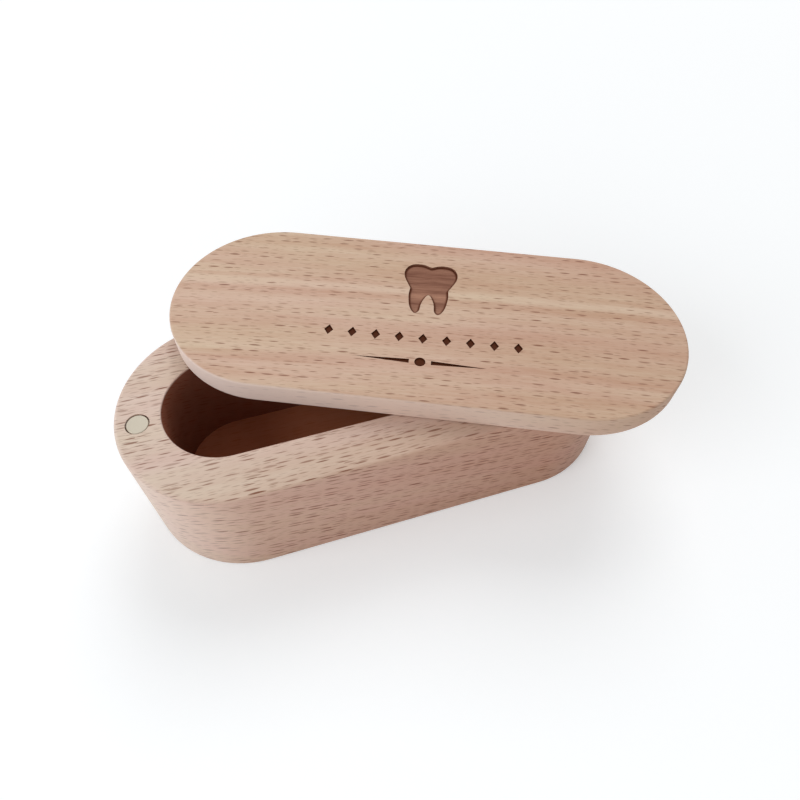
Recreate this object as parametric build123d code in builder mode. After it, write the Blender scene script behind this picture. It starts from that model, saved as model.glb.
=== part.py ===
"""Baby tooth box: a milled beech box with a loose lid that small disc magnets hold shut.

Millimetres. The origin is the centre of the box's underside, +X runs along the box and +Z is up.
The lid lies askew on the box, half open, and closes flush with it all round.
"""
import os
from math import cos, radians, sin

from build123d import *

# Box
box_length = 98.0
box_width = 40.0
body_height = 27.0
body_top_round = 0.7
body_bottom_round = 0.6

# Walls and floor left round the pocket that is milled into the box from above
end_wall = 8.2
side_wall = 8.9
pocket_floor = 5.0
pocket_edge_round = 0.3

# Lid, with the box's own outline, and where it lies
lid_thickness = 5.0
lid_top_round = 0.5
lid_bottom_round = 0.5
lid_gap = 0.1
lid_centre_x = 10.3
lid_centre_y = 5.2
lid_turn_degrees = -24.4

# Disc magnets, glued into blind seats so that they end just under the wood's surface
magnet_diameter = 4.0
magnet_thickness = 2.0
magnet_edge_break = 0.15
magnet_glue_gap = 0.15
magnet_set_back = 0.1

# Tooth engraved in the lid, its roots towards the lid's front edge
tooth_width = 10.6
tooth_height = 13.3
tooth_off_centre_line = 0.5
tooth_engraving_depth = 0.4

# Right half of the tooth's outline, from the notch in its crown by the waist to the fork of its
# roots: shares of half its width, and of its height above the roots' tips
crown_shares = [(0, 0.949), (0.19, 0.98), (0.49, 1), (0.72, 0.982), (0.925, 0.907), (1, 0.79), (0.93, 0.67)]
outer_root_shares = [(0.728, 0.39), (0.70, 0.24), (0.59, 0.075)]
inner_root_shares = [(0.285, 0.045), (0.25, 0.13), (0.175, 0.263)]
waist_share = (0.706, 0.489)
root_tip_share = (0.40, 0)
fork_share = (0, 0.37)
notch_direction = (1, 0)
crown_foot_direction = (-0.45, -1)
root_head_direction = (0.05, -1)
fork_direction = (-1, 0)
crown_end_pull_shares = (0.5, 1)
root_end_pull_shares = (1, 0.6)

# Ornament engraved in front of the tooth: a row of lozenges, then a tapered rule with a dot
lozenge_width = 1.7
lozenge_height = 2.4
lozenge_pitch = 4.4
lozenge_count = 9
lozenges_off_centre_line = 5.7
rule_length = 24.0
rule_width = 0.9
rule_off_centre_line = 11.2
rule_dot_diameter = 2.0
rule_dot_gap = 1.0
ornament_engraving_depth = 0.3

# Sizes and places worked out from the ones above
pocket_length = box_length - 2 * end_wall
pocket_width = box_width - 2 * side_wall
pocket_depth = body_height - pocket_floor
magnet_reach = box_length / 2 - end_wall / 2
magnet_seat_radius = magnet_diameter / 2 + magnet_glue_gap
magnet_seat_depth = magnet_thickness + magnet_set_back
rule_start = rule_dot_diameter / 2 + rule_dot_gap
outer_root = [waist_share] + outer_root_shares
inner_root = inner_root_shares + [fork_share]
root_shares = outer_root + [root_tip_share] + inner_root
lid_direction = (cos(radians(lid_turn_degrees)), sin(radians(lid_turn_degrees)), 0)
lid_centre = (lid_centre_x, lid_centre_y, body_height + lid_gap)
lid_underside = Plane(origin=lid_centre, x_dir=lid_direction, z_dir=(0, 0, 1))
lid_top = lid_underside.offset(lid_thickness)


def tooth_point(width_share, height_share):
    """Give a point of the tooth's outline on the lid's top."""
    return (width_share * tooth_width / 2, tooth_off_centre_line + height_share * tooth_height)


def disc_magnet(name, back_plane, reach):
    """Make one magnet, its back on the floor of its seat and its face towards the other magnet."""
    with BuildPart() as magnet:
        with BuildSketch(back_plane):
            with Locations((reach, 0)):
                Circle(magnet_diameter / 2)
        extrude(amount=magnet_thickness)
        chamfer(magnet.edges().filter_by(GeomType.CIRCLE), length=magnet_edge_break)
    magnet.part.label = name
    return magnet.part


# Box body: one block with round ends, its pocket and a magnet seat in each end wall
with BuildPart() as box_body:
    with BuildSketch(Plane.XY):
        SlotOverall(box_length, box_width)
    extrude(amount=body_height)
    fillet(box_body.edges().group_by(Axis.Z)[-1], radius=body_top_round)
    fillet(box_body.edges().group_by(Axis.Z)[0], radius=body_bottom_round)
    with BuildSketch(Plane.XY.offset(body_height)):
        SlotOverall(pocket_length, pocket_width)
    extrude(amount=-pocket_depth, mode=Mode.SUBTRACT)
    top_face = box_body.faces().sort_by(Axis.Z)[-1]
    fillet(top_face.inner_wires().edges(), radius=pocket_edge_round)
    with Locations((-magnet_reach, 0, body_height), (magnet_reach, 0, body_height)):
        Hole(radius=magnet_seat_radius, depth=magnet_seat_depth)
box_body.part.label = "box_body"

# Lid: one board, a magnet seat in its underside at each end, and the engraving in its top
with BuildPart() as lid:
    with BuildSketch(lid_underside):
        SlotOverall(box_length, box_width)
    extrude(amount=lid_thickness)
    fillet(lid.edges().group_by(Axis.Z)[-1], radius=lid_top_round)
    fillet(lid.edges().group_by(Axis.Z)[0], radius=lid_bottom_round)
    with BuildSketch(lid_underside):
        with Locations((-magnet_reach, 0), (magnet_reach, 0)):
            Circle(magnet_seat_radius)
    extrude(amount=magnet_seat_depth, mode=Mode.SUBTRACT)
    with BuildSketch(lid_top):
        with BuildLine():
            Spline(
                [tooth_point(*shares) for shares in crown_shares + [waist_share]],
                tangents=(notch_direction, crown_foot_direction),
                tangent_scalars=crown_end_pull_shares,
            )
            Spline(
                [tooth_point(*shares) for shares in root_shares],
                tangents=(root_head_direction, fork_direction),
                tangent_scalars=root_end_pull_shares,
            )
            mirror(about=Plane.YZ)
        make_face()
    extrude(amount=-tooth_engraving_depth, mode=Mode.SUBTRACT)
    with BuildSketch(lid_top):
        with Locations((0, -lozenges_off_centre_line)):
            with GridLocations(lozenge_pitch, lozenge_pitch, lozenge_count, 1):
                Polygon(
                    (-lozenge_width / 2, 0),
                    (0, -lozenge_height / 2),
                    (lozenge_width / 2, 0),
                    (0, lozenge_height / 2),
                )
        with Locations((0, -rule_off_centre_line)):
            Circle(rule_dot_diameter / 2)
            for side in (-1, 1):
                Polygon(
                    (side * rule_start, -rule_width / 2),
                    (side * rule_length / 2, 0),
                    (side * rule_start, rule_width / 2),
                )
    extrude(amount=-ornament_engraving_depth, mode=Mode.SUBTRACT)
lid.part.label = "lid"

# Magnets: one at each end of the box, facing up, and its partner in the lid, facing down
body_seat_floor = Plane.XY.offset(body_height - magnet_seat_depth)
lid_magnet_face = lid_underside.offset(magnet_set_back)
magnets = [
    disc_magnet("body_magnet_left", body_seat_floor, -magnet_reach),
    disc_magnet("body_magnet_right", body_seat_floor, magnet_reach),
    disc_magnet("lid_magnet_left", lid_magnet_face, -magnet_reach),
    disc_magnet("lid_magnet_right", lid_magnet_face, magnet_reach),
]

# One file for each piece
os.makedirs("parts", exist_ok=True)
export_step(box_body.part, "parts/box_body.step")
export_step(lid.part, "parts/lid.step")
for magnet_part in magnets:
    export_step(magnet_part, f"parts/{magnet_part.label}.step")
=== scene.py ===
"""Looks of a milled beech box for milk teeth: its wood, its engraved lid, its magnets and the stage.

Metres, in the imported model's own frame: every piece stands where the model says.
"""

from math import atan2, cos, hypot, radians, sin

import bpy
from mathutils import Matrix, Vector, noise
from mathutils.kdtree import KDTree


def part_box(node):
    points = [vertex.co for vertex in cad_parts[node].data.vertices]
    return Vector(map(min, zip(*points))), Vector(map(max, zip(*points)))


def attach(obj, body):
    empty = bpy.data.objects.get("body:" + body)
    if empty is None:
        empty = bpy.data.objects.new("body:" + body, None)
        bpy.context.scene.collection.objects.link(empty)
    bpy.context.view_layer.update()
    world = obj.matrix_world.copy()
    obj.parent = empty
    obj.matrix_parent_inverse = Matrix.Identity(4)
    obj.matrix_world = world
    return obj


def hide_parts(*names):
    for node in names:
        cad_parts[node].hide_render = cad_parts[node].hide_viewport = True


bl_info = {
    "name": "Milk Tooth Box",
    "version": (1, 0, 0),
    "blender": (4, 5, 0),
    "location": "View3D > Sidebar > Tooth Box",
    "description": "Finishes a beech tooth box: wood, engraved lid, magnets and stage",
    "category": "Object",
}

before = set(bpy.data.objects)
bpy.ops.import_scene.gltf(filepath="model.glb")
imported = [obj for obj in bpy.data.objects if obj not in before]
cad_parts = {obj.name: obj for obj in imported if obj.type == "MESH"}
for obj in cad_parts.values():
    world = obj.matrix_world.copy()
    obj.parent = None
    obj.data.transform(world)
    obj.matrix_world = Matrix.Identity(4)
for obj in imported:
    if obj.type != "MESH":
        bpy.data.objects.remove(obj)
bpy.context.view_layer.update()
MM = 0.001
WHITE = (1, 1, 1, 1)


def linear(hex_colour):
    """Turn an sRGB hex value into Blender's linear red, green, blue and alpha."""
    channels = [int(hex_colour[i:i + 2], 16) / 255 for i in (0, 2, 4)]
    return tuple(
        c / 12.92 if c <= 0.04045 else ((c + 0.055) / 1.055) ** 2.4 for c in channels
    ) + (1.0,)


def middle(node):
    """Give the middle of a CAD node's box."""
    low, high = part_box(node)
    return (low + high) / 2


# The lid's own axes, from the magnets in its two ends
LID_RIGHT = middle("lid_magnet_right")
LID_LEFT = middle("lid_magnet_left")
LID_ALONG = LID_RIGHT - LID_LEFT
LID_TURN = atan2(LID_ALONG.y, LID_ALONG.x)
LID_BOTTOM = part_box("lid")[0].z
LID_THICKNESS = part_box("lid")[1].z - LID_BOTTOM
LID_PLACE = Matrix.Translation((
    (LID_RIGHT.x + LID_LEFT.x) / 2,
    (LID_RIGHT.y + LID_LEFT.y) / 2,
    LID_BOTTOM,
)) @ Matrix.Rotation(LID_TURN, 4, "Z")
BOX_LENGTH, BOX_WIDTH, BOX_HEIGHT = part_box("box_body")[1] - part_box("box_body")[0]

# Where on the lid the engraving lies, how deep it goes at least and at most, and where the tooth begins
ENGRAVED_HALF_LENGTH = 30 * MM
ENGRAVED_HALF_WIDTH = 18 * MM
ENGRAVED_LEAST = 0.01 * MM
ENGRAVED_DEPTH = 0.45 * MM
TOOTH_FRONT = -2 * MM

# The tooth's floor: how fine its mesh is, and the size of the ridges on it
TOOTH_GRID = 0.2 * MM
RIDGE_LENGTH = 3.5 * MM
RIDGE_STEP = 0.7 * MM

# How scorched the engraving is, where 1 is charred, and at what scorch the colour of the tooth's rim
# starts to show and is full
RIM_SCORCH = 0.8
RIM_STARTS = RIM_SCORCH * 0.25
RIM_FULL = RIM_SCORCH * 0.75
WALL_SCORCH = 0.35
LEAST_SCORCH = 0.1

# What counts in the lid's mesh as one point, a point on a cut, one flat face, a face that points up,
# and a smooth edge
ONE_POINT = 0.001 * MM
ON_CUT = 0.0001 * MM
FLAT_ANGLE = radians(0.3)
POINTS_UP = 0.7
SMOOTH_ANGLE = radians(30)


# User-facing sizes and colours

def colour(name, hex_colour, description):
    """Declare a colour that a user may change."""
    return bpy.props.FloatVectorProperty(
        name=name, description=description, subtype="COLOR", size=4, min=0, max=1,
        default=linear(hex_colour),
    )


def length(name, millimetres, description):
    """Declare a length that a user may change."""
    return bpy.props.FloatProperty(
        name=name, description=description, unit="LENGTH", min=0, precision=5,
        default=millimetres * MM,
    )


def share(name, default, description):
    """Declare a share that a user may change."""
    return bpy.props.FloatProperty(
        name=name, description=description, subtype="FACTOR", min=0, max=1, default=default,
    )


def angle(name, degrees, description):
    """Declare an angle that a user may change."""
    return bpy.props.FloatProperty(
        name=name, description=description, subtype="ANGLE", default=radians(degrees),
    )


class ToothBoxWood(bpy.types.PropertyGroup):
    """Steamed beech, sanded and left bare: what box and lid have alike."""
    # Mixed into the box's ends and the lid's edge, most at the left: partly paler sanded wood, partly
    # painted window light and sheen
    edge: colour("Edges", "EDDBD2", "Paler wood that the lid's edge and the box's ends are nearer to")
    rosy: colour("Rosy wood", "FFFBFD", "Tint of the rosier wood, as a multiplier")
    golden: colour("Golden wood", "FDFFFA", "Tint of the more golden wood, as a multiplier")
    fleck: colour("Ray flecks", "76432C", "The short dark dashes where the rays end")
    fleck_step: length("Fleck step", 3.2, "From one fleck to the next along the grain")
    ray_depth: length("Ray depth", 4.0, "Deepest ray, from the pith outwards")
    depth_step: length("Depth step", 3.3, "From one ray to the next, from the pith outwards")
    ring_width: length("Ring width", 2.6, "Width of one year's growth")
    fibre_width: length("Fibre width", 0.22, "Width of a fibre bundle, drawn coarse enough to show")


class ToothBoxBlock(bpy.types.PropertyGroup):
    """The box's own piece of beech."""
    pale: colour("Pale", "DCC8B9", "Palest wood of the box")
    deep: colour("Deep", "BE9583", "Deepest wood of the box")
    long_side: colour("Long sides", "FCEEE8", "Tint of the rosier long sides, as a multiplier")
    # Painted shade: bare beech in the milled pocket, darkened and reddened to stand in for the shade
    # inside it; the floor's lighter colour stands in for the little light that reaches it
    pocket_wall_shade: colour("Pocket, wall", "8F4727", "Wood browned by the cutter down the pocket's wall")
    pocket_floor_shade: colour("Pocket, floor", "CC7345", "Wood browned by the cutter on the pocket's floor")
    contrast: share("Contrast", 0.5, "How much streaks and fibres change the colour")
    # Deeper towards the right: partly the wood's own, partly painted shade of the window lamp's falloff
    # and of the lid's shadow on the box's top
    deepening_and_shade: share("Deepening", 0.88, "How much deeper the colour is at the right end than at the left")
    flecks: share("Flecks", 0.88, "How dark the ray flecks are")
    fleck_length: length("Fleck length", 3.8, "Longest ray fleck along the grain")
    fleck_width: length("Fleck width", 0.41, "Thickest ray fleck")
    row_step: length("Row step", 0.7, "From one row of flecks to the next, across the rays")
    turn: angle("Turn", -1, "How far the grain turns from the box's length, seen from above")
    dip: angle("Dip", 9, "How far the grain dips towards the right, seen on the sides")
    bend: bpy.props.FloatProperty(name="Bend", description="Bend of the grain, per metre", default=-0.2)


class ToothBoxBoard(bpy.types.PropertyGroup):
    """The lid's own piece of beech."""
    pale: colour("Pale", "D8BEA8", "Palest wood of the lid")
    deep: colour("Deep", "C19881", "Deepest wood of the lid")
    contrast: share("Contrast", 1.0, "How much streaks and fibres change the colour")
    # Deeper towards the right: partly the wood's own, partly painted shade of the window lamp's falloff
    deepening_and_shade: share("Deepening", 0.36, "How much deeper the colour is at the right end than at the left")
    flecks: share("Flecks", 0.78, "How dark the ray flecks are")
    fleck_length: length("Fleck length", 2.8, "Longest ray fleck along the grain")
    fleck_width: length("Fleck width", 0.36, "Thickest ray fleck")
    row_step: length("Row step", 0.92, "From one row of flecks to the next, across the rays")
    turn: angle("Turn", 1.8, "How far the grain turns from the lid's length, seen from above")
    dip: angle("Dip", 0, "How far the grain dips towards the right, seen on the sides")
    bend: bpy.props.FloatProperty(name="Bend", description="Bend of the grain, per metre", default=0.35)


class ToothBoxEngraving(bpy.types.PropertyGroup):
    """A tooth and a plain ornament burnt into the lid."""
    floor_pale: colour("Floor, pale", "AC7E67", "Browned early wood on the tooth's floor")
    floor_deep: colour("Floor, deep", "603427", "Browned late wood on the tooth's floor")
    rim: colour("Rim", "592C18", "Dark line round the tooth, where the beam turned")
    char: colour("Char", "4C220B", "Burnt floor of the small marks")
    rim_width: length("Rim width", 0.8, "How far the dark line fades onto the tooth's floor")
    ridge: length("Ridges", 0.05, "Height of the ridges that the beam leaves along the grain")


class ToothBoxPlate(bpy.types.PropertyGroup):
    """Nickel plate on the disc magnets."""
    plate: colour("Plate", "B6AE9F", "Warm grey of the nickel")
    smooth: share("Smoothest", 0.32, "Roughness of the smoothest patches")
    rough: share("Roughest", 0.48, "Roughness of the dullest patches")
    speck: length("Speck", 0.35, "Size of the patches, drawn coarse enough to show")


class ToothBoxStage(bpy.types.PropertyGroup):
    """Floor and lamps of a small photo studio."""
    floor: colour("Floor", "EDEFF0", "Plain pale floor")
    sky: bpy.props.FloatProperty(name="Sky", description="Strength of even light", default=0.44, min=0)
    key: bpy.props.FloatProperty(name="Window lamp", description="Power in watts", default=0.86, min=0)
    fill: bpy.props.FloatProperty(name="Front lamp", description="Power in watts", default=1.7, min=0)
    back: bpy.props.FloatProperty(name="Back lamp", description="Power in watts", default=6.0, min=0)


# Nodes

def add_node(tree, kind, settings=None, inputs=None):
    """Add one node, set its settings, and fill or link its inputs."""
    new = tree.nodes.new(kind)
    for name, value in (settings or {}).items():
        setattr(new, name, value)
    for name, value in (inputs or {}).items():
        socket = new.inputs[name]
        if isinstance(value, bpy.types.NodeSocket):
            tree.links.new(value, socket)
        else:
            socket.default_value = value
    return new


def new_material(name):
    """Start a material with an empty node tree, and give it and its output."""
    material = bpy.data.materials.new(name)
    material.use_nodes = True
    material.node_tree.nodes.clear()
    output = material.node_tree.nodes.new("ShaderNodeOutputMaterial")
    return material, material.node_tree, output


def calculate(tree, operation, *values, clamp=False):
    """Give a number that is worked out from others."""
    settings = {"operation": operation, "use_clamp": clamp}
    return add_node(tree, "ShaderNodeMath", settings, dict(enumerate(values))).outputs[0]


def calculate_vector(tree, operation, *values):
    """Give a vector that is worked out from others; for a length or a dot product, a number."""
    settings = {"operation": operation}
    outputs = add_node(tree, "ShaderNodeVectorMath", settings, dict(enumerate(values))).outputs
    return outputs["Value" if operation in ("LENGTH", "DOT_PRODUCT") else "Vector"]


def split(tree, vector):
    """Give a vector's three numbers."""
    return add_node(tree, "ShaderNodeSeparateXYZ", {}, {0: vector}).outputs


def join(tree, *numbers):
    """Give the vector of two or three numbers."""
    return add_node(tree, "ShaderNodeCombineXYZ", {}, dict(enumerate(numbers))).outputs[0]


def place_in(tree, place, scale=(1, 1, 1), turn=(0, 0, 0), origin=(0, 0, 0)):
    """Give a place as measured along axes of that scale, turn and origin."""
    return add_node(tree, "ShaderNodeMapping", {"vector_type": "TEXTURE"}, {
        "Vector": place, "Location": origin, "Rotation": turn, "Scale": scale}).outputs[0]


def remap(tree, value, start, end, low=0, high=1, curve="LINEAR", clamp=True):
    """Map a number between start and end to one between low and high."""
    settings = {"interpolation_type": curve, "clamp": clamp}
    return add_node(tree, "ShaderNodeMapRange", settings, {
        "Value": value, "From Min": start, "From Max": end, "To Min": low, "To Max": high}).outputs[0]


def blend(tree, amount, first, second, kind="MIX"):
    """Mix that amount of the second colour into the first, or tint the first with it."""
    return add_node(tree, "ShaderNodeMix", {"data_type": "RGBA", "blend_type": kind}, {
        0: amount, 6: first, 7: second}).outputs[2]


def cloud(tree, place, detail, roughness=0.5):
    """Give the value and colour of a soft noise, whose humps are about one unit wide."""
    return add_node(tree, "ShaderNodeTexNoise", {}, {
        "Vector": place, "Scale": 1.0, "Detail": detail, "Roughness": roughness}).outputs


# Beech: pale pinkish wood with rows of short dark flecks, which are the ends of its rays, and with
# streaks and fibres along the grain. The pattern is solid, and a surface shows what it cuts. The rays are
# thin lenses that run outwards from the pith, which lies below and behind, so they slope down to the back.
# Below are their slope, how far they stray from even rows, their least and most size, how dark the
# palest is beside the darkest, and how softly they end.
RAY_SLOPE = radians(-42)
RAY_JITTER = 0.6
SMALLEST_RAY = 0.5
LARGEST_RAY = 0.9
PALEST_RAY = 0.45
RAY_OUTER_EDGE = -0.1
RAY_INNER_EDGE = 0.45

# Smaller, fainter rays between them
FAINT_RAY_SIZE = 0.6
FAINT_RAY_STRENGTH = 0.5

# How squarely a surface may face across the rays before they fade, and where they are gone
RAYS_FADE = 0.78
RAYS_GONE = 0.98

# Growth rings, one of them paler, and how far behind the lid's middle line that one shows on its top
PITH_BELOW = 70 * MM
PITH_BEHIND = 45 * MM
PALE_STREAK = 6 * MM
PALE_RING = hypot(PALE_STREAK - PITH_BEHIND, LID_THICKNESS + PITH_BELOW)
PALE_RING_CORE = 0.1 * MM
PALE_RING_EDGE = 0.7 * MM

# Sizes of the slower patterns, along the grain, across it and upwards, how far the grain wanders, and
# where along the grain the change of hue starts
WANDER_SIZE = (45 * MM, 10 * MM, 10 * MM)
WANDER = 0.9 * MM
STREAK_SIZE = (45 * MM, 3 * MM, 4 * MM)
HUE_SIZE = (55 * MM, 7 * MM, 7 * MM)
HUE_START = 15 * MM

# The mean of a noise and of a colour's depth, and where in a noise the wood is all rosy and all golden
MEAN = 0.5
ALL_ROSY = 0.35
ALL_GOLDEN = 0.65

# How many times longer than wide a fibre bundle is
FIBRE_STRETCH = 18

# How much of each pattern goes into the colour, and the sums that give the palest and deepest wood
RING_SHARE = 0.5
FIBRE_SHARE = 0.7
PALE_RING_SHARE = -0.4
PALEST_SUM = 0.7
DEEPEST_SUM = 1.5

# Sides, which face up or down by less than the limit, show less of the pattern
SIDE_LIMIT = 0.5
SIDE_CONTRAST = 0.45

# Sanded beech without oil or varnish: matt, with the fibres just felt
WOOD_IOR = 1.45
WOOD_GLOSS = 0.12
SMOOTHEST_WOOD = 0.62
ROUGHEST_WOOD = 0.72
FIBRE_RELIEF = 0.02 * MM
RELIEF_STRENGTH = 0.35


def ray_flecks(tree, grain, board, wood, size, strength):
    """Place one lens-shaped ray in each cell of the wood, and give how dark it is."""
    steps = (wood.fleck_step, board.row_step, wood.depth_step)
    rays = (board.fleck_length, board.fleck_width, wood.ray_depth)
    placed = place_in(tree, grain, tuple(step * size for step in steps), (-RAY_SLOPE, 0, 0))
    cells = add_node(tree, "ShaderNodeTexVoronoi", {}, {
        "Vector": placed, "Scale": 1.0, "Randomness": RAY_JITTER}).outputs
    offset = calculate_vector(tree, "SUBTRACT", placed, cells["Position"])
    offset = calculate_vector(
        tree, "MULTIPLY", offset, tuple(2 * step / ray for step, ray in zip(steps, rays)))

    # A lens: its thickness tapers with the square of the distance from its middle
    lens = calculate_vector(tree, "MULTIPLY", offset, (1, 0, 1))
    taper = calculate_vector(tree, "DOT_PRODUCT", lens, lens)
    aside = calculate(tree, "ABSOLUTE", split(tree, offset)[1])

    # Each ray has a size and a darkness of its own
    chance = add_node(tree, "ShaderNodeSeparateColor", {}, {"Color": cells["Color"]}).outputs
    inside = remap(tree, chance[0], 0, 1, SMALLEST_RAY, LARGEST_RAY)
    inside = calculate(tree, "SUBTRACT", inside, taper)
    inside = calculate(tree, "SUBTRACT", inside, aside)
    inside = remap(tree, inside, RAY_OUTER_EDGE, RAY_INNER_EDGE, curve="SMOOTHSTEP")
    darkness = remap(tree, chance[1], 0, 1, PALEST_RAY * strength, strength)
    return calculate(tree, "MULTIPLY", inside, darkness)


def board_axes(tree, place, turn, board):
    """Lay axes along a board: give a point's place along them, where it faces, and if it is on a side."""
    coordinates = add_node(tree, "ShaderNodeTexCoord").outputs
    flat = place_in(tree, coordinates["Object"], turn=(0, 0, turn + board.turn), origin=place)
    dipping = place_in(tree, flat, turn=(0, board.dip, 0))
    facing = add_node(tree, "ShaderNodeMapping", {"vector_type": "VECTOR"}, {
        "Vector": coordinates["Normal"], "Rotation": (0, 0, -turn)}).outputs[0]
    upward = calculate(tree, "ABSOLUTE", split(tree, facing)[2])
    on_side = calculate(tree, "LESS_THAN", upward, SIDE_LIMIT)
    sawn = add_node(tree, "ShaderNodeMix", {"data_type": "VECTOR"}, {
        0: on_side, 4: flat, 5: dipping}).outputs[1]
    return split(tree, sawn), facing, on_side


def bent_grain(tree, axes, board):
    """Bend the grain a little over the board's length, and let it wander slowly."""
    bent = calculate(tree, "MULTIPLY", axes[0], axes[0])
    bent = calculate(tree, "MULTIPLY_ADD", bent, board.bend, axes[1])
    bent = join(tree, axes[0], bent, axes[2])
    wander = cloud(tree, place_in(tree, bent, WANDER_SIZE), detail=1.0)["Color"]
    wander = calculate_vector(tree, "SUBTRACT", wander, (MEAN, MEAN, MEAN))
    wander = calculate_vector(tree, "MULTIPLY", wander, (0, WANDER, WANDER))
    return calculate_vector(tree, "ADD", bent, wander)


def growth_rings(tree, grain, wood):
    """Grow rings round the pith: give how deep a ring's colour is, and how near the pale ring is."""
    from_pith = calculate_vector(tree, "MULTIPLY_ADD", grain, (0, 1, 1), (0, -PITH_BEHIND, PITH_BELOW))
    radius = calculate_vector(tree, "LENGTH", from_pith)
    ring = calculate(tree, "DIVIDE", radius, wood.ring_width)
    ring = add_node(tree, "ShaderNodeTexNoise", {"noise_dimensions": "1D"}, {
        "W": ring, "Scale": 1.0, "Detail": 3.0, "Roughness": 0.6}).outputs["Fac"]
    off_pale = calculate(tree, "SUBTRACT", radius, PALE_RING)
    off_pale = calculate(tree, "ABSOLUTE", off_pale)
    on_pale = remap(tree, off_pale, PALE_RING_EDGE, PALE_RING_CORE, curve="SMOOTHSTEP")
    return ring, on_pale


def grain_depth(tree, grain, fibre, along, on_side, board, wood):
    """Give how deep the colour is: by ring, streak and fibre, and deeper towards the right end, partly the
    wood's own and partly painted shade of the light falling off to the right.
    """
    ring, on_pale = growth_rings(tree, grain, wood)
    streak = cloud(tree, place_in(tree, grain, STREAK_SIZE), detail=4.0, roughness=0.55)["Fac"]
    depth = calculate(tree, "MULTIPLY_ADD", ring, RING_SHARE, streak)
    depth = calculate(tree, "MULTIPLY_ADD", fibre, FIBRE_SHARE, depth)
    depth = calculate(tree, "MULTIPLY_ADD", on_pale, PALE_RING_SHARE, depth)
    contrast = remap(tree, on_side, 0, 1, board.contrast, board.contrast * SIDE_CONTRAST)
    depth = remap(tree, depth, PALEST_SUM, DEEPEST_SUM, -MEAN, 1 - MEAN, clamp=False)
    depth = calculate(tree, "MULTIPLY_ADD", depth, contrast, MEAN)
    return calculate(tree, "MULTIPLY_ADD", along, board.deepening_and_shade / BOX_LENGTH, depth, clamp=True)


def beech_grain(tree, place, turn, board, wood):
    """Draw bare beech for a board at that place and turn.

    Give its colour, height, depth of colour, normal and how far along the board a point lies.
    """
    axes, facing, on_side = board_axes(tree, place, turn, board)
    grain = bent_grain(tree, axes, board)
    bundle = (FIBRE_STRETCH * wood.fibre_width, wood.fibre_width, wood.fibre_width)
    fibre = cloud(tree, place_in(tree, grain, bundle), detail=2.0, roughness=0.6)["Fac"]

    # Plain and faint flecks. A surface cut along the rays would show wide patches, so there they fade
    fleck = ray_flecks(tree, grain, board, wood, 1.0, 1.0)
    faint = ray_flecks(tree, grain, board, wood, FAINT_RAY_SIZE, FAINT_RAY_STRENGTH)
    fleck = calculate(tree, "MAXIMUM", fleck, faint)
    along_rays = calculate_vector(tree, "DOT_PRODUCT", facing, (0, cos(RAY_SLOPE), -sin(RAY_SLOPE)))
    along_rays = calculate(tree, "ABSOLUTE", along_rays)
    clear = remap(tree, along_rays, RAYS_GONE, RAYS_FADE, high=board.flecks)
    fleck = calculate(tree, "MULTIPLY", fleck, clear)

    depth = grain_depth(tree, grain, fibre, axes[0], on_side, board, wood)
    base = blend(tree, depth, board.pale, board.deep)

    # Slow change between rosy and golden wood
    hue = place_in(tree, grain, HUE_SIZE, origin=(HUE_START, 0, 0))
    hue = remap(tree, cloud(tree, hue, detail=2.0)["Fac"], ALL_ROSY, ALL_GOLDEN)
    tint = blend(tree, hue, wood.rosy, wood.golden)
    base = blend(tree, 1.0, base, tint, "MULTIPLY")
    base = blend(tree, fleck, base, wood.fleck)
    height = calculate(tree, "SUBTRACT", fibre, fleck)
    return base, height, depth, facing, axes[0]


def bare_wood(tree, output, base, height, depth):
    """Close a wood's nodes: sanded, unsealed, with the fibres just felt."""
    bump = add_node(tree, "ShaderNodeBump", {}, {
        "Height": height, "Strength": RELIEF_STRENGTH, "Distance": FIBRE_RELIEF}).outputs[0]
    roughness = remap(tree, depth, 0, 1, SMOOTHEST_WOOD, ROUGHEST_WOOD)
    shader = add_node(tree, "ShaderNodeBsdfPrincipled", {}, {
        "Base Color": base, "Roughness": roughness, "IOR": WOOD_IOR,
        "Specular IOR Level": WOOD_GLOSS, "Normal": bump})
    tree.links.new(shader.outputs[0], output.inputs["Surface"])


# How much nearer to the edge colour the box's left and right ends are: partly paler end wood, partly
# painted window light and sheen on the left end
LEFT_END_PALENESS_AND_SHEEN = 0.6
RIGHT_END_PALENESS_AND_SHEEN = 0.25

# Painted shade in the milled pocket: how strong, how far from the pocket's middle line, from where below
# the box's top, and how thick the box's underside is, which stays plain
POCKET_SHADE = 0.87
POCKET_SHADE_RADIUS = BOX_WIDTH / 2 - 5 * MM
POCKET_SHADE_START = 0.05 * MM
POCKET_SHADE_FULL = 0.5 * MM
UNDERSIDE = 1 * MM


def pocket_shade_mask(tree):
    """Give how surely a point of the box lies in its milled pocket, where shade is painted."""
    place = split(tree, add_node(tree, "ShaderNodeTexCoord").outputs["Object"])
    beyond = calculate(tree, "ABSOLUTE", place[0])
    beyond = calculate(tree, "SUBTRACT", beyond, (BOX_LENGTH - BOX_WIDTH) / 2, clamp=True)
    aside = calculate_vector(tree, "LENGTH", join(tree, beyond, place[1]))
    within = calculate(tree, "LESS_THAN", aside, POCKET_SHADE_RADIUS)
    inside = remap(tree, place[2], BOX_HEIGHT - POCKET_SHADE_START, BOX_HEIGHT - POCKET_SHADE_FULL)
    above = calculate(tree, "GREATER_THAN", place[2], UNDERSIDE)
    inside = calculate(tree, "MULTIPLY", inside, above)
    return calculate(tree, "MULTIPLY", inside, within)


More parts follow.
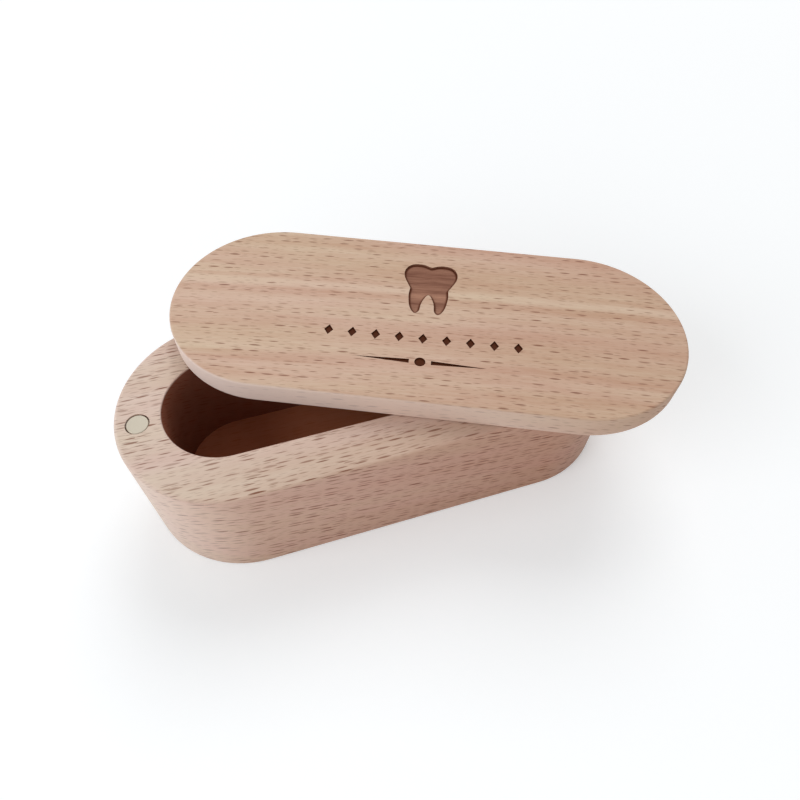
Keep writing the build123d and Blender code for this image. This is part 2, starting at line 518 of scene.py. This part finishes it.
def beech_block(block, wood):
    """Beech of the box: its top pale, its long sides rosier, its ends paler with painted window light at
    the left, and painted shade in its milled pocket.
    """
    material, tree, output = new_material("beech_block")
    base, height, depth, facing, along = beech_grain(tree, (0, 0, 0), 0, block, wood)
    facing = split(tree, facing)
    sideways = calculate(tree, "ABSOLUTE", facing[1])
    rosy = blend(tree, sideways, base, block.long_side, "MULTIPLY")
    # Paler ends, more at the left: partly pale end wood, partly painted window light and sheen on the left
    # end
    endways = calculate(tree, "ABSOLUTE", facing[0])
    paleness_and_sheen = remap(tree, along, -BOX_LENGTH / 2, BOX_LENGTH / 2, LEFT_END_PALENESS_AND_SHEEN, RIGHT_END_PALENESS_AND_SHEEN)
    endways = calculate(tree, "MULTIPLY", endways, paleness_and_sheen)
    outside = blend(tree, endways, rosy, wood.edge)
    # Painted shade in the milled pocket: dark brown on its wall, lighter on its floor, mixed over the bare
    # wood
    pocket_shade_colour = blend(tree, facing[2], block.pocket_wall_shade, block.pocket_floor_shade)
    browned = blend(tree, POCKET_SHADE, base, pocket_shade_colour)
    base = blend(tree, pocket_shade_mask(tree), outside, browned)
    bare_wood(tree, output, base, height, depth)
    return material


# How much nearer to the edge colour the lid's edge is at the lid's left and right end, and where the
# edge starts and is full, by how far its surface faces up. The paler edge at the left is partly pale
# sanded wood, partly painted sheen of the window lamp
LEFT_EDGE_PALENESS_AND_SHEEN = 0.9
RIGHT_EDGE_PALENESS_AND_SHEEN = 0.0
EDGE_START = 0.9
EDGE_FULL = 0.4


def beech_board(board, wood, engraving):
    """Beech of the lid, browned and charred where the piece's scorch attribute says so."""
    material, tree, output = new_material("beech_board")
    base, height, depth, facing, along = beech_grain(
        tree, LID_PLACE.to_translation(), LID_TURN, board, wood)
    # Paler edge, fading out towards the right: partly pale sanded wood, partly painted sheen of the window
    # lamp on the left
    on_edge = remap(tree, split(tree, facing)[2], EDGE_START, EDGE_FULL)
    paleness_and_sheen = remap(tree, along, -BOX_LENGTH / 2, BOX_LENGTH / 2, LEFT_EDGE_PALENESS_AND_SHEEN, RIGHT_EDGE_PALENESS_AND_SHEEN)
    on_edge = calculate(tree, "MULTIPLY", on_edge, paleness_and_sheen)
    base = blend(tree, on_edge, base, wood.edge)

    # Scorch: browned on the tooth's floor, darker at its rim, charred in the ornament
    scorch = add_node(tree, "ShaderNodeAttribute", {"attribute_name": "scorch"}).outputs["Fac"]
    engraved = calculate(tree, "GREATER_THAN", scorch, LEAST_SCORCH / 2)
    floor = blend(tree, depth, engraving.floor_pale, engraving.floor_deep)
    base = blend(tree, engraved, base, floor)
    rim = remap(tree, scorch, RIM_STARTS, RIM_FULL, curve="SMOOTHSTEP")
    base = blend(tree, rim, base, engraving.rim)
    char = remap(tree, scorch, RIM_SCORCH, 1)
    base = blend(tree, char, base, engraving.char)
    bare_wood(tree, output, base, height, depth)
    return material


def nickel(plate):
    """Satin nickel plate on a small sintered disc: warm grey, softly mirroring."""
    material, tree, output = new_material("nickel_plate")
    specks = add_node(tree, "ShaderNodeTexNoise", {}, {
        "Vector": add_node(tree, "ShaderNodeTexCoord").outputs["Object"],
        "Scale": 1 / plate.speck, "Detail": 2.0}).outputs["Fac"]
    roughness = remap(tree, specks, 0, 1, plate.smooth, plate.rough)
    shader = add_node(tree, "ShaderNodeBsdfPrincipled", {}, {
        "Base Color": plate.plate, "Metallic": 1.0, "Roughness": roughness})
    tree.links.new(shader.outputs[0], output.inputs["Surface"])
    return material


def finish(thing, material):
    """Give a piece its material in every slot."""
    thing.data.materials.clear()
    thing.data.materials.append(material)


def copy_node(node, name):
    """Start a piece from a copy of a CAD node, its doubles merged and its flat faces whole."""
    piece = bpy.data.objects.new(name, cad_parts[node].data.copy())
    bpy.context.scene.collection.objects.link(piece)
    bpy.ops.object.select_all(action="DESELECT")
    piece.select_set(True)
    bpy.context.view_layer.objects.active = piece
    bpy.context.tool_settings.mesh_select_mode = (False, False, True)
    bpy.ops.object.mode_set(mode="EDIT")
    bpy.ops.mesh.select_all(action="SELECT")
    bpy.ops.mesh.customdata_custom_splitnormals_clear()
    bpy.ops.mesh.remove_doubles(threshold=ONE_POINT)
    bpy.ops.mesh.dissolve_limited(angle_limit=FLAT_ANGLE)
    bpy.ops.object.mode_set(mode="OBJECT")
    return piece


def select_faces(piece, wanted):
    """Select the faces that a test wants, and no others, and open the piece in edit mode."""
    mesh = piece.data
    for part in (mesh.vertices, mesh.edges):
        part.foreach_set("select", [False] * len(part))
    for face in mesh.polygons:
        face.select = wanted(face)
    bpy.ops.object.mode_set(mode="EDIT")


def is_engraved(face):
    """Tell whether a face lies in the engraving: a little below the top, away from the rounded rim."""
    place = LID_PLACE.inverted() @ face.center
    off_rim = abs(place.y) < ENGRAVED_HALF_WIDTH and abs(place.x) < ENGRAVED_HALF_LENGTH
    return off_rim and ENGRAVED_LEAST < LID_THICKNESS - place.z < ENGRAVED_DEPTH


def is_tooth(face):
    """Tell whether a face belongs to the tooth, which lies behind the ornament."""
    return is_engraved(face) and (LID_PLACE.inverted() @ face.center).y > TOOTH_FRONT


def is_tooth_floor(face):
    """Tell whether a face is floor of the tooth."""
    return is_tooth(face) and face.normal.z > POINTS_UP


def cut_in_squares(piece, step):
    """Cut the selected faces into squares along the lid's own axes."""
    bpy.ops.object.mode_set(mode="OBJECT")
    chosen = {v for face in piece.data.polygons if face.select for v in face.vertices}
    places = [LID_PLACE.inverted() @ piece.data.vertices[v].co for v in chosen]
    bpy.ops.object.mode_set(mode="EDIT")
    bpy.ops.mesh.hide(unselected=True)
    for axis in (0, 1):
        first = min(place[axis] for place in places)
        last = max(place[axis] for place in places)
        across = LID_PLACE.to_3x3().col[axis]
        for number in range(1, int((last - first) / step) + 1):
            point = Vector((0, 0, 0))
            point[axis] = first + number * step
            bpy.ops.mesh.select_all(action="SELECT")
            bpy.ops.mesh.bisect(plane_co=LID_PLACE @ point, plane_no=across, threshold=ON_CUT)
    bpy.ops.mesh.reveal(select=False)
    bpy.ops.object.mode_set(mode="OBJECT")


def rough_floor(piece, foot, engraving):
    """Raise ridges on the tooth's floor, away from its wall; give each floor point's distance to it."""
    mesh = piece.data
    wall = KDTree(len(foot))
    for number, vertex in enumerate(foot):
        wall.insert(mesh.vertices[vertex].co, number)
    wall.balance()
    distances = {}
    for face in mesh.polygons:
        if not is_tooth_floor(face):
            continue
        for vertex in face.vertices:
            distances[vertex] = wall.find(mesh.vertices[vertex].co)[2]
    for vertex, distance in distances.items():
        place = LID_PLACE.inverted() @ mesh.vertices[vertex].co
        ridge = noise.noise((place.x / RIDGE_LENGTH, place.y / RIDGE_STEP, 0))
        lift = min(1, distance / engraving.rim_width) * engraving.ridge * ridge
        mesh.vertices[vertex].co.z += lift
    return distances


class TOOTHBOX_OT_body(bpy.types.Operator):
    """Finish the box body in beech"""
    bl_idname = "tooth_box.body"
    bl_label = "Finish Box Body"

    def execute(self, context):
        scene = context.scene
        finish(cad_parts["box_body"], beech_block(scene.tooth_box_block, scene.tooth_box_wood))
        return {"FINISHED"}


class TOOTHBOX_OT_lid(bpy.types.Operator):
    """Make the lid with its burnt engraving"""
    bl_idname = "tooth_box.lid"
    bl_label = "Make Lid"

    def execute(self, context):
        scene = context.scene
        engraving = scene.tooth_box_engraving
        lid = copy_node("lid", "lid_board")
        select_faces(lid, is_tooth_floor)
        cut_in_squares(lid, TOOTH_GRID)
        faces = lid.data.polygons
        walls = {v for f in faces if is_engraved(f) and f.normal.z < POINTS_UP for v in f.vertices}
        floor = {v for f in faces if is_tooth_floor(f) for v in f.vertices}
        distances = rough_floor(lid, walls & floor, engraving)

        # Charred all over the ornament, less on the tooth's wall, and less and less over its floor
        scorch = lid.data.attributes.new("scorch", "FLOAT", "CORNER")
        for face in lid.data.polygons:
            if not is_engraved(face):
                continue
            for corner in face.loop_indices:
                distance = distances.get(lid.data.loops[corner].vertex_index, 0)
                burn = max(LEAST_SCORCH, RIM_SCORCH * (1 - distance / engraving.rim_width))
                if not is_tooth_floor(face):
                    burn = WALL_SCORCH if is_tooth(face) else 1
                scorch.data[corner].value = burn
        bpy.ops.object.shade_smooth_by_angle(angle=SMOOTH_ANGLE)
        finish(lid, beech_board(scene.tooth_box_board, scene.tooth_box_wood, engraving))
        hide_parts("lid")
        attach(lid, "lid")
        return {"FINISHED"}


class TOOTHBOX_OT_magnets(bpy.types.Operator):
    """Finish the four disc magnets"""
    bl_idname = "tooth_box.magnets"
    bl_label = "Finish Magnets"

    def execute(self, context):
        material = nickel(context.scene.tooth_box_plate)
        for node in ("body_magnet_left", "body_magnet_right", "lid_magnet_left", "lid_magnet_right"):
            finish(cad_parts[node], material)
        return {"FINISHED"}


# Camera: its lens and its place, worked out from the object's outlines in the photograph
FOCAL_PIXELS = 649.5
IMAGE_PIXELS = 800
SENSOR = 36.0
CAMERA_AZIMUTH = radians(-18.98)
CAMERA_ELEVATION = radians(54.96)
CAMERA_ROLL = radians(1.69)
CAMERA_TARGET = Vector((7.06, 9.36, 0)) * MM
CAMERA_DISTANCE = 151.04 * MM
NEAREST_SEEN = 1 * MM
FARTHEST_SEEN = 10


def towards(azimuth, elevation):
    """Give the direction from the object to what looks at it; azimuth 0 stands in front of it."""
    return Vector((
        sin(azimuth) * cos(elevation),
        -cos(azimuth) * cos(elevation),
        sin(elevation),
    ))


def add_camera(context):
    """Place the camera at the photograph's angle."""
    back = towards(CAMERA_AZIMUTH, CAMERA_ELEVATION)
    data = bpy.data.cameras.new("camera")
    data.sensor_width = SENSOR
    data.lens = FOCAL_PIXELS / IMAGE_PIXELS * SENSOR
    data.clip_start = NEAREST_SEEN
    data.clip_end = FARTHEST_SEEN
    camera = bpy.data.objects.new("camera", data)
    context.scene.collection.objects.link(camera)
    turn = (-back).to_track_quat("-Z", "Y").to_matrix().to_4x4() @ Matrix.Rotation(CAMERA_ROLL, 4, "Z")
    camera.matrix_world = Matrix.Translation(CAMERA_TARGET + back * CAMERA_DISTANCE) @ turn
    context.scene.camera = camera


# Lamps: azimuth, elevation and distance from the object, the length of a lamp's side, and its tint
WINDOW_PLACE = (radians(-78), radians(34), 0.5)
WINDOW_SIZE = 0.32
WINDOW_TINT = "F5FAFF"
FRONT_PLACE = (radians(-38), radians(16), 1.2)
FRONT_TINT = "FFF9F4"
BACK_PLACE = (radians(150), radians(52), 1.2)
BACK_TINT = "FFFFFF"
PANEL_SIZE = 0.75


def add_lamp(context, name, place, size, power, tint):
    """Aim a square soft lamp at the object."""
    azimuth, elevation, distance = place
    back = towards(azimuth, elevation)
    data = bpy.data.lights.new(name, "AREA")
    data.size = size
    data.energy = power
    data.color = linear(tint)[:3]
    lamp = bpy.data.objects.new(name, data)
    context.scene.collection.objects.link(lamp)
    lamp.location = back * distance
    lamp.rotation_euler = (-back).to_track_quat("-Z", "Y").to_euler()


def seen_rays(tree):
    """Give 1 for a ray of the camera, of gloss or of glass, and 0 for one that lights the object."""
    rays = add_node(tree, "ShaderNodeLightPath").outputs
    seen = calculate(tree, "MAXIMUM", rays["Is Camera Ray"], rays["Is Glossy Ray"])
    return calculate(tree, "MAXIMUM", seen, rays["Is Transmission Ray"])


def add_sky(context, strength):
    """Even light for the object; a white background for the camera, gloss and glass."""
    world = bpy.data.worlds.new("sky")
    world.use_nodes = True
    tree = world.node_tree
    tree.nodes.clear()
    level = remap(tree, seen_rays(tree), 0, 1, strength, 1)
    background = add_node(tree, "ShaderNodeBackground", {}, {"Color": WHITE, "Strength": level})
    output = add_node(tree, "ShaderNodeOutputWorld")
    tree.links.new(background.outputs[0], output.inputs["Surface"])
    context.scene.world = world


# The floor: how long it is, how far it lies under the box so that the two don't share a plane, how much
# light of its own the camera sees, and how far from the object its fade into white starts and ends
FLOOR_LENGTH = 1.8
FLOOR_DROP = 0.02 * MM
FLOOR_GLOW = 0.25
FADE_START = 0.2
FADE_END = 0.7


def floor_paper(stage):
    """Matt white paper that fades into the white background far from the object, for the camera."""
    material, tree, output = new_material("paper_floor")
    seen = seen_rays(tree)
    glow = calculate(tree, "MULTIPLY", seen, FLOOR_GLOW)
    matt = add_node(tree, "ShaderNodeBsdfDiffuse", {}, {"Color": stage.floor, "Roughness": 0.5})
    glow = add_node(tree, "ShaderNodeEmission", {}, {"Color": WHITE, "Strength": glow})
    near = add_node(tree, "ShaderNodeAddShader", {}, {0: matt.outputs[0], 1: glow.outputs[0]})
    white = add_node(tree, "ShaderNodeEmission", {}, {"Color": WHITE, "Strength": 1.0})
    away = calculate_vector(tree, "LENGTH", add_node(tree, "ShaderNodeTexCoord").outputs["Object"])
    far = remap(tree, away, FADE_START, FADE_END, curve="SMOOTHSTEP")
    far = calculate(tree, "MULTIPLY", far, seen)
    paper = add_node(tree, "ShaderNodeMixShader", {}, {
        0: far, 1: near.outputs[0], 2: white.outputs[0]})
    tree.links.new(paper.outputs[0], output.inputs["Surface"])
    return material


class TOOTHBOX_OT_stage(bpy.types.Operator):
    """Set up floor, lamps, sky and camera"""
    bl_idname = "tooth_box.stage"
    bl_label = "Set Up Stage"

    def execute(self, context):
        stage = context.scene.tooth_box_stage
        bpy.ops.object.select_all(action="DESELECT")
        bpy.ops.mesh.primitive_plane_add(size=FLOOR_LENGTH, location=(0, 0, -FLOOR_DROP))
        floor = context.object
        floor.name = "floor"
        floor.data.materials.append(floor_paper(stage))
        add_sky(context, stage.sky)
        add_lamp(context, "window_lamp", WINDOW_PLACE, WINDOW_SIZE, stage.key, WINDOW_TINT)
        add_lamp(context, "front_lamp", FRONT_PLACE, PANEL_SIZE, stage.fill, FRONT_TINT)
        add_lamp(context, "back_lamp", BACK_PLACE, PANEL_SIZE, stage.back, BACK_TINT)
        add_camera(context)
        context.scene.view_settings.view_transform = "Standard"
        return {"FINISHED"}


class TOOTHBOX_PT_panel(bpy.types.Panel):
    """Sizes, colours and buttons of the tooth box"""
    bl_idname = "TOOTHBOX_PT_panel"
    bl_label = "Milk Tooth Box"
    bl_space_type = "VIEW_3D"
    bl_region_type = "UI"
    bl_category = "Tooth Box"

    def draw(self, context):
        scene = context.scene
        groups = (
            ("Box", scene.tooth_box_block, "tooth_box.body"),
            ("Lid", scene.tooth_box_board, None),
            ("Engraving", scene.tooth_box_engraving, "tooth_box.lid"),
            ("Beech", scene.tooth_box_wood, None),
            ("Magnets", scene.tooth_box_plate, "tooth_box.magnets"),
            ("Stage", scene.tooth_box_stage, "tooth_box.stage"),
        )
        for title, group, operator in groups:
            box = self.layout.box()
            box.label(text=title)
            for name in group.__annotations__:
                box.prop(group, name)
            if operator:
                box.operator(operator)


CLASSES = (
    ToothBoxWood, ToothBoxBlock, ToothBoxBoard, ToothBoxEngraving, ToothBoxPlate, ToothBoxStage,
    TOOTHBOX_OT_body, TOOTHBOX_OT_lid, TOOTHBOX_OT_magnets, TOOTHBOX_OT_stage,
    TOOTHBOX_PT_panel,
)


def register():
    """Register the classes and their settings."""
    for item in CLASSES:
        bpy.utils.register_class(item)
    bpy.types.Scene.tooth_box_wood = bpy.props.PointerProperty(type=ToothBoxWood)
    bpy.types.Scene.tooth_box_block = bpy.props.PointerProperty(type=ToothBoxBlock)
    bpy.types.Scene.tooth_box_board = bpy.props.PointerProperty(type=ToothBoxBoard)
    bpy.types.Scene.tooth_box_engraving = bpy.props.PointerProperty(type=ToothBoxEngraving)
    bpy.types.Scene.tooth_box_plate = bpy.props.PointerProperty(type=ToothBoxPlate)
    bpy.types.Scene.tooth_box_stage = bpy.props.PointerProperty(type=ToothBoxStage)


def unregister():
    """Take the settings and classes away again."""
    del bpy.types.Scene.tooth_box_stage
    del bpy.types.Scene.tooth_box_plate
    del bpy.types.Scene.tooth_box_engraving
    del bpy.types.Scene.tooth_box_board
    del bpy.types.Scene.tooth_box_block
    del bpy.types.Scene.tooth_box_wood
    for item in reversed(CLASSES):
        bpy.utils.unregister_class(item)


def main():
    """Make everything in order."""
    register()
    bpy.ops.tooth_box.body()
    bpy.ops.tooth_box.lid()
    bpy.ops.tooth_box.magnets()
    bpy.ops.tooth_box.stage()


if __name__ == "__main__":
    main()
